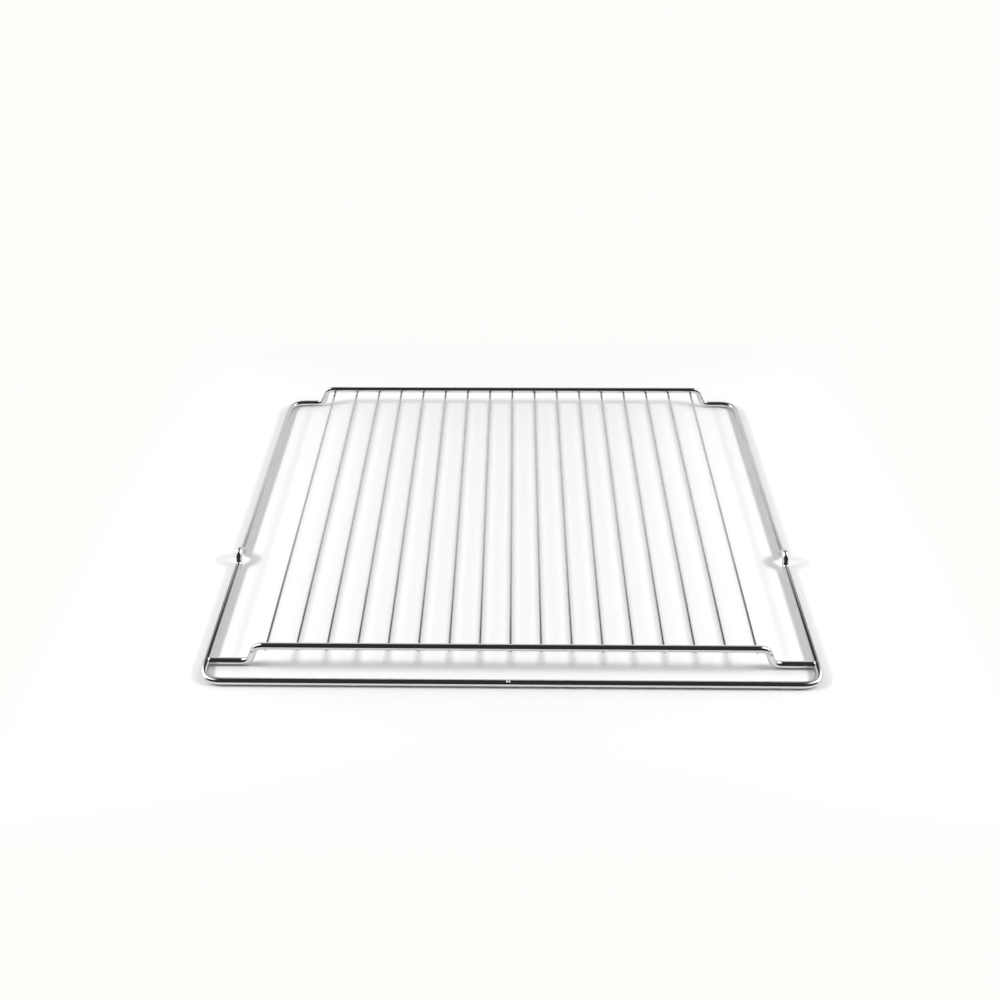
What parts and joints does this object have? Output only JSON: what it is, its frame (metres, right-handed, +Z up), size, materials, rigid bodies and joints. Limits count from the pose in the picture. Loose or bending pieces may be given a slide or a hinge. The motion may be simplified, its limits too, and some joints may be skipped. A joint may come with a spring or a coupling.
{
  "type": "oven shelf rack",
  "caption": "Rectangular chromed wire oven shelf: a bent frame with side stops, a raised crossbar and rear rail, and a row of thin grid wires that carry dishes.",
  "frame": {"origin": "on the floor under the centre of the shelf's outline", "axes": "+X across the oven along the front rail, +Y to the back of the oven, +Z up"},
  "size_m": [0.466, 0.385, 0.0222],
  "materials": {
    "rail_chrome": "bright plated",
    "grid_chrome": "bright plated"
  },
  "bodies": {
    "root": {"outer_frame": "rail_chrome", "front_crossbar": "rail_chrome", "grid_wire_01": "grid_chrome", "grid_wire_02": "grid_chrome", "grid_wire_03": "grid_chrome", "grid_wire_04": "grid_chrome", "grid_wire_05": "grid_chrome", "grid_wire_06": "grid_chrome", "grid_wire_07": "grid_chrome", "grid_wire_08": "grid_chrome", "grid_wire_09": "grid_chrome", "grid_wire_10": "grid_chrome", "grid_wire_11": "grid_chrome", "grid_wire_12": "grid_chrome", "grid_wire_13": "grid_chrome", "grid_wire_14": "grid_chrome", "grid_wire_15": "grid_chrome", "grid_wire_16": "grid_chrome", "grid_wire_17": "grid_chrome"}
  },
  "joints": []
}
